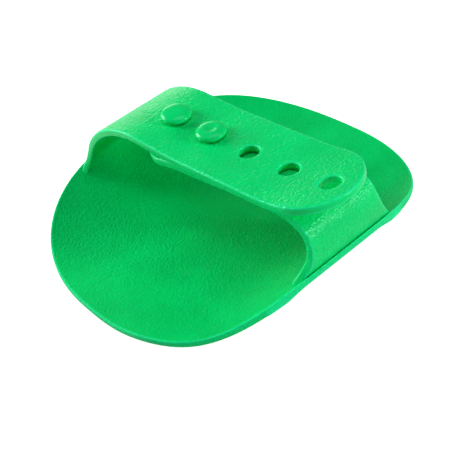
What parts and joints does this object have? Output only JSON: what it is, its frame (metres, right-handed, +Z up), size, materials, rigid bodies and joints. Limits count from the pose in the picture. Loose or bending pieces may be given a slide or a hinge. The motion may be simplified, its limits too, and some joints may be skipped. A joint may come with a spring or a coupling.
{
  "type": "hand grooming pad with strap",
  "caption": "Soft oval rubber hand pad with a toothed underside and a strap that buttons over the back of the hand.",
  "frame": {"origin": "under the middle of the whole object's outline, on the plane of the lowest tooth tips", "axes": "+X across the pad, from the outer strap's root towards its free end; +Y along the oval pad's long axis, away from the viewer's side; +Z up, from the teeth towards the straps"},
  "size_m": [0.1413, 0.147, 0.0542],
  "materials": {
    "rubber": "satin"
  },
  "bodies": {
    "pad": {"pad_sheet": "rubber", "tooth_ring_1": "rubber", "tooth_ring_2": "rubber", "tooth_ring_3": "rubber", "tooth_ring_4": "rubber", "tooth_ring_5": "rubber"},
    "outer_strap_lower": {"outer_strap_riser": "rubber"},
    "outer_strap_upper": {"outer_strap_span": "rubber"},
    "inner_strap_body": {"inner_strap": "rubber", "stud_domed": "rubber", "stud_dimpled": "rubber"}
  },
  "joints": [
    {"name": "outer_strap_root", "type": "hinge", "parent": "pad", "child": "outer_strap_lower", "pos_m": [-0.06653, -0.00771, 0.02231], "axis": [0, -1, 0], "range_deg": [0, 100], "deforming": ["stud_domed", "stud_dimpled"]},
    {"name": "outer_strap_fold", "type": "hinge", "parent": "outer_strap_lower", "child": "outer_strap_upper", "pos_m": [-0.04632, -0.0063, 0.04343], "axis": [0, -1, 0], "range_deg": [0, 50], "deforming": ["stud_domed", "stud_dimpled"]},
    {"name": "inner_strap_root", "type": "hinge", "parent": "pad", "child": "inner_strap_body", "pos_m": [0.06046, 0.00278, 0.02201], "axis": [0, 1, 0], "range_deg": [0, 30]}
  ],
  "couplings": [
    {"joint": "inner_strap_root", "follows": "outer_strap_root", "ratio": 0.3}
  ]
}
